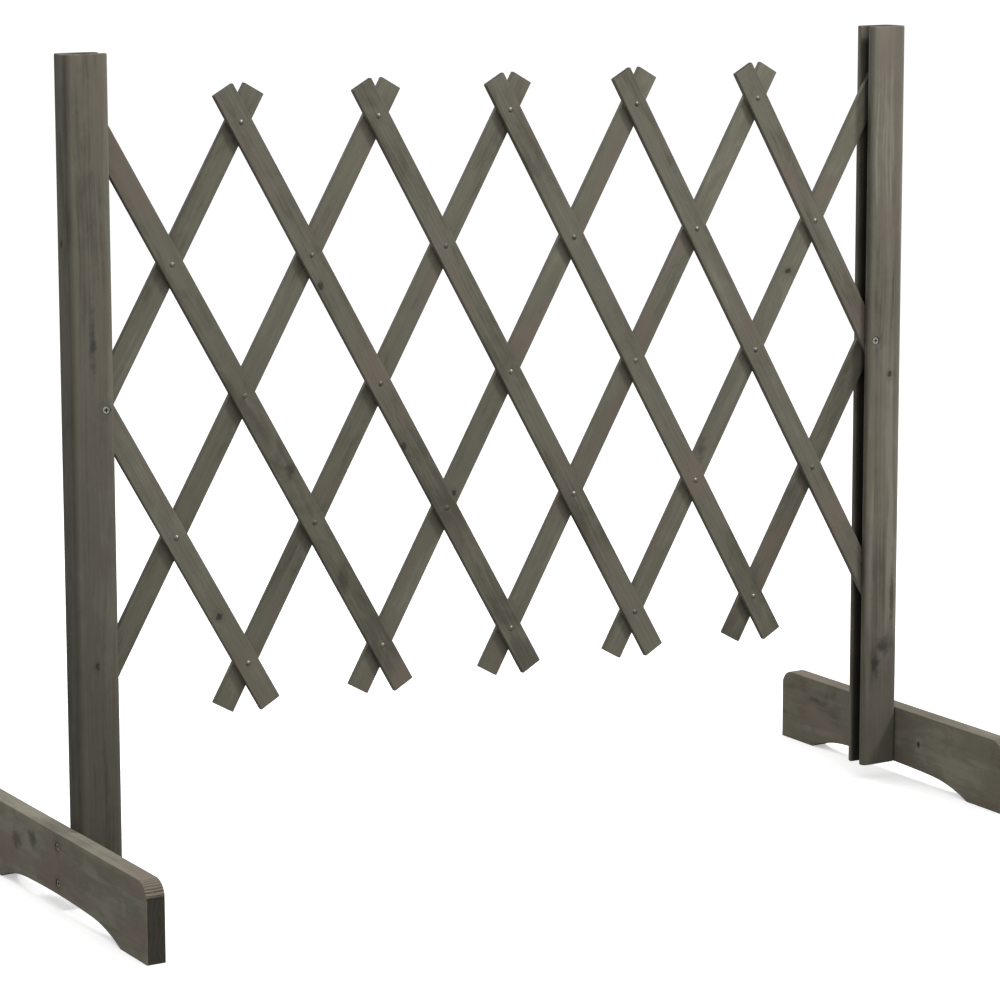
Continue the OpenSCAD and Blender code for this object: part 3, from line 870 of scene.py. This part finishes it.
def standPost(node, side, spec, material):
    # the outline seen from above, carried up and drawn in at both ends; the left post mirrors the right one
    low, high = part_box(node)
    size = high - low
    along, drawn = easedEnds(size.z, spec["endEase"], spec["endSteps"], spec["stationPitch"])
    rings = inset(postOutline(size.x, size.y, spec), drawn)
    inner = low.x if side > 0 else high.x
    if side < 0:
        rings = rings[:, ::-1] * np.array((-1.0, 1.0))
    # wear on the four long corners and round the top
    depthIn, fromMiddle = np.abs(rings[..., 0]), np.abs(rings[..., 1])
    across = np.minimum(depthIn, size.x - depthIn)
    fromFront = size.y / 2.0 - fromMiddle
    fromTop = (size.z - along)[:, None]
    fromCorner = np.maximum(np.maximum(across, fromFront) - spec["wearInset"], 0.0)
    wear = spec["wear"] * np.clip(1.0 - np.minimum(fromCorner, fromTop) / spec["wearReach"], 0.0, 1.0)
    # painted shade in the groove and on its lips
    groove = grooveShade(depthIn, fromMiddle, fromTop, spec)
    # a painted highlight line beside each round corner and a painted shade line on its other side, put into the
    # tone
    highlight, shadeLine, radius = spec["paintedHighlightLine"], spec["paintedShadeLine"], spec["edgeRadius"]
    tone = spec["tones"][side] + highlight["lift"] * lineBeside(across, fromFront, radius, highlight)
    tone = tone - shadeLine["drop"] * lineBeside(fromFront, across, radius, shadeLine)
    rings = rings + np.array((inner, 0.0))
    piece = carried(node + "_wood", rings, along + low.z, wear=wear, groove=groove, tone=tone)
    pivot = Vector(joints["panel_fold" if side < 0 else "right_stand_pivot"]["pos_m"])
    places = [(pivot.x, low.y, pivot.z)]
    drilled(piece, turnedCutters("postHole", countersunk(spec), places, toFront))
    finished(piece, node, material)


def screwShadowRings(centres, reach):
    # a painted shadow about the middle of each screw head, with one reach every way
    return tuple((centre, (reach, reach, reach)) for centre in centres)


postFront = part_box("left_post")[0].y
postPivots = ("panel_fold", "right_stand_pivot")
pivotHeads = [(joints[name]["pos_m"][0], postFront, pivotHeight) for name in postPivots]
postMarks = post["knots"] + screwShadowRings(pivotHeads, post["screwShadowReach"])
for side, sideName in ((-1, "left"), (1, "right")):
    stain = {**post["stain"], **post[sideName + "Stain"]}
    smudges = [mark for mark in post["smudges"] if mark[0][0] * side > 0.0]
    materialName = "greyStain" + sideName.capitalize() + "Post"
    postWood = woodMaterial(materialName, stain, (0.0, 0.0, 0.0), postMarks, smudges)
    standPost(sideName + "_post", side, post, postWood)
print("posts standing")


# feet
foot = {
    "endRadius": 0.018,
    "edgeRadius": 0.0008,
    "cornerSteps": 5,
    "flatSteps": 8,
    "endEase": 0.0010,
    "easeSteps": 6,
    "roundStart": 1.05,     # the round corner's stations start here, in end eases
    "roundSteps": 70,
    "padSteps": 6,
    "archSteps": 26,
    "archCrowd": 1.3,       # stations crowd towards the arch's ends by this power
    "archSpan": 0.308,
    "archRise": 0.018,
    "crownLength": 0.55,    # share of the span under the flat crown
    "crownHeight": 0.11,    # share of the rise that the crown falls
    "tones": {-1: 0.27, 1: -0.03},
    "ridgeDepth": 0.00045,
    "ridgeCount": 7,
    "ridgeAngles": (8.0, 86.0),    # where the saw left ridges on a round corner, from its end face
    "screwHeights": (0.030, 0.070),
    "screwHead": 0.0090,
    "screwSink": 0.0008,
    "screwShank": 0.0041,
    "screwDepth": 0.03,
    "wear": 0.4,
    "wearReach": 0.003,
    "smoothAngle": 34.0,
    "stain": {"grey": (0.160, 0.147, 0.112), "pale": (0.222, 0.206, 0.163), "dark": (0.088, 0.079, 0.059),
              "warm": (0.179, 0.145, 0.115), "figure": 0.36, "cloud": 1.6, "brush": 0.15,
              "endFacing": (0.975, 0.997), "endShade": 0.95, "bottomDarkening": 0.0, "bottomDarkeningHeights": (0.0, 0.1),
              "bump": 0.4, "sheen": 0.12, "ridgeShade": 0.66, "ridgeRelief": -1.6, "ridgeFacing": (0.3, 0.6)},
    "collar": 1.8,          # how pale the ring round the first knot is
    "knots": (((0.5329, -0.061, 0.0484), (0.006, 0.0026, 0.0036)),
              ((0.5539, -0.085, 0.052), (0.006, 0.004, 0.005))),
    "smudges": (((-0.5539, 0.106, 0.0545), (0.010, 0.011, 0.011), 0.52),
                ((-0.5539, 0.0645, 0.063), (0.010, 0.010, 0.008), 0.52),
                ((0.5329, 0.150, 0.060), (0.010, 0.014, 0.003), 0.40)),
    "screwShadowReach": 0.0056,
}


def archHeight(y, spec):
    # three-centred arch: a flat crown circle in the middle, a tighter circle to the ground at each side
    halfSpan, rise = spec["archSpan"] / 2.0, spec["archRise"]
    crownHalf = halfSpan * spec["crownLength"]
    fall = rise * spec["crownHeight"]
    crownRadius = (crownHalf ** 2 + fall ** 2) / (2.0 * fall)
    slope = math.asin(crownHalf / crownRadius)
    run = halfSpan - crownHalf
    drop = rise - fall
    # the shoulder circle leaves the crown on its tangent and meets the ground at the span's end
    shoulder = (run ** 2 + drop ** 2) / (2.0 * (drop * math.cos(slope) - run * math.sin(slope)))
    centreY = crownHalf - shoulder * math.sin(slope)
    centreZ = drop - shoulder * math.cos(slope)
    away = np.abs(y)
    crown = rise - crownRadius + np.sqrt(np.maximum(crownRadius ** 2 - away ** 2, 0.0))
    side = centreZ + np.sqrt(np.maximum(shoulder ** 2 - (away - centreY) ** 2, 0.0))
    return np.where(away < crownHalf, crown, np.where(away < halfSpan, np.maximum(side, 0.0), 0.0))


def ridgeSpan(spec):
    # angle of the first ridge's start, and from one ridge to the next
    first, last = (math.radians(angle) for angle in spec["ridgeAngles"])
    return first, (last - first) / spec["ridgeCount"]


def ridgedCorner(spec):
    # a quarter circle whose radius dips by a cosine at each saw ridge: distance from the end and height, for
    # the part past the eased end
    around = np.linspace(0.0, 0.5 * math.pi, spec["roundSteps"])
    first, step = ridgeSpan(spec)
    ridged = np.clip((around - first) / step, 0.0, spec["ridgeCount"])
    reach = spec["endRadius"] - spec["ridgeDepth"] * (0.5 - 0.5 * np.cos(2.0 * math.pi * ridged))
    corner = spec["endRadius"] - reach * np.cos(around)
    past = corner > spec["endEase"] * spec["roundStart"]
    return corner[past], (reach * np.sin(around))[past]


def layFoot(node, side, spec, material):
    # an upright rounded rectangle carried along the foot; its top falls round the end corners, its bottom
    # follows the arch
    low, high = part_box(node)
    length, halfSpan = high.y - low.y, spec["archSpan"] / 2.0
    ease, radius = spec["endEase"], spec["endRadius"]
    eased = ease * (1.0 - np.cos(np.linspace(0.0, 0.5 * math.pi, spec["easeSteps"])))
    corner, cornerTop = ridgedCorner(spec)
    archEnd = length / 2.0 - halfSpan
    pad = np.linspace(radius, archEnd, spec["padSteps"])[1:]
    arch = archEnd + halfSpan * np.linspace(0.0, 1.0, spec["archSteps"])[1:] ** spec["archCrowd"]
    nearHalf = np.concatenate((eased, corner, pad, arch))
    along = np.concatenate((nearHalf, length - nearHalf[-2::-1]))
    fromEnd = np.minimum(along, length - along)
    drawn = ease * (1.0 - np.sqrt(np.clip(1.0 - (1.0 - fromEnd / ease) ** 2, 0.0, 1.0)))
    drawn = np.where(fromEnd < ease, drawn, 0.0)
    inRound = np.clip(fromEnd, 0.0, radius)
    fall = np.sqrt(np.maximum(radius ** 2 - (radius - inRound) ** 2, 0.0))
    edges = len(eased) + len(corner)
    fall[len(eased):edges] = cornerTop
    fall[len(along) - edges:len(along) - len(eased)] = cornerTop[::-1]
    top = high.z - radius + fall - drawn
    bottom = low.z + archHeight(along - length / 2.0, spec) + drawn
    lowCorners = np.stack((np.full_like(along, low.x) + drawn, bottom), -1)
    highCorners = np.stack((np.full_like(along, high.x) - drawn, top), -1)
    rings = roundOutline(lowCorners, highCorners, spec["edgeRadius"], spec["cornerSteps"], spec["flatSteps"])
    # wear along the top edges and round the ends
    fromSide = np.minimum(rings[..., 0] - low.x, high.x - rings[..., 0])
    fromTop = top[:, None] - rings[..., 1]
    fromEdge = np.minimum(np.maximum(fromSide, fromTop), fromEnd[:, None])
    wear = spec["wear"] * np.clip(1.0 - fromEdge / spec["wearReach"], 0.0, 1.0)
    piece = carried(node + "_wood", rings, along - length / 2.0, wear=wear, tone=spec["tones"][side])
    # height along the path runs to the front, so the outline keeps its turn
    middleY = (low.y + high.y) / 2.0
    toFloor = ((1.0, 0.0, 0.0, 0.0), (0.0, 0.0, -1.0, middleY), (0.0, 1.0, 0.0, 0.0), (0.0, 0.0, 0.0, 1.0))
    piece.data.transform(Matrix(toFloor))
    outward = np.array(((0.0, 0.0, side), (0.0, 1.0, 0.0), (-side, 0.0, 0.0)))
    face = high.x if side > 0 else low.x
    places = [(face, middleY, low.z + height) for height in spec["screwHeights"]]
    drilled(piece, turnedCutters("footHoles", countersunk(spec), places, outward))
    finished(piece, node, material, spec["smoothAngle"])


footHeads = [(side * cadBox[1].x, 0.0, height) for side in (-1, 1) for height in foot["screwHeights"]]
footMarks = foot["knots"] + screwShadowRings(footHeads, foot["screwShadowReach"])
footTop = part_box("left_foot")[1]
footCorner = (0.0, footTop.y - foot["endRadius"], footTop.z - foot["endRadius"])
ridgeStart, ridgeStep = ridgeSpan(foot)
ridges = {"Corner": footCorner, "First": ridgeStart + ridgeStep / 2.0, "Count": math.pi / ridgeStep}
stain = {**foot["stain"], "ridges": ridges, "collars": ((*foot["knots"][0], foot["collar"]),)}
footWood = woodMaterial("greyStainFoot", stain, (math.radians(90.0), 0.0, 0.0), footMarks, foot["smudges"])
layFoot("left_foot", -1, foot, footWood)
layFoot("right_foot", 1, foot, footWood)
print("feet laid")


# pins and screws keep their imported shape
steel = {
    "pins": {"bright": (0.20, 0.19, 0.165), "oxide": (0.085, 0.079, 0.064)},
    "pivotScrews": {"bright": (0.56, 0.54, 0.49), "oxide": (0.31, 0.295, 0.26)},
    "footScrews": {"bright": (0.70, 0.67, 0.61), "oxide": (0.38, 0.36, 0.32)},
}
pivotRecess = {"recess": ("Y", -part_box("left_pivot_screw")[0].y)}
footRecess = {"recess": ("X", -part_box("left_foot_screws")[0].x)}
pinZinc = zincMaterial("dullZincPin", steel["pins"])
pivotZinc = zincMaterial("dullZincPivotScrew", {**steel["pivotScrews"], **pivotRecess})
footZinc = zincMaterial("dullZincFootScrew", {**steel["footScrews"], **footRecess})
for node, made in frame["nodes"].items():
    if node.startswith("lattice_pins"):
        made.material_slots[0].material = pinZinc
    elif "pivot_screw" in node:
        made.material_slots[0].material = pivotZinc
    elif "foot_screws" in node:
        made.material_slots[0].material = footZinc
print("pins and screws finished")
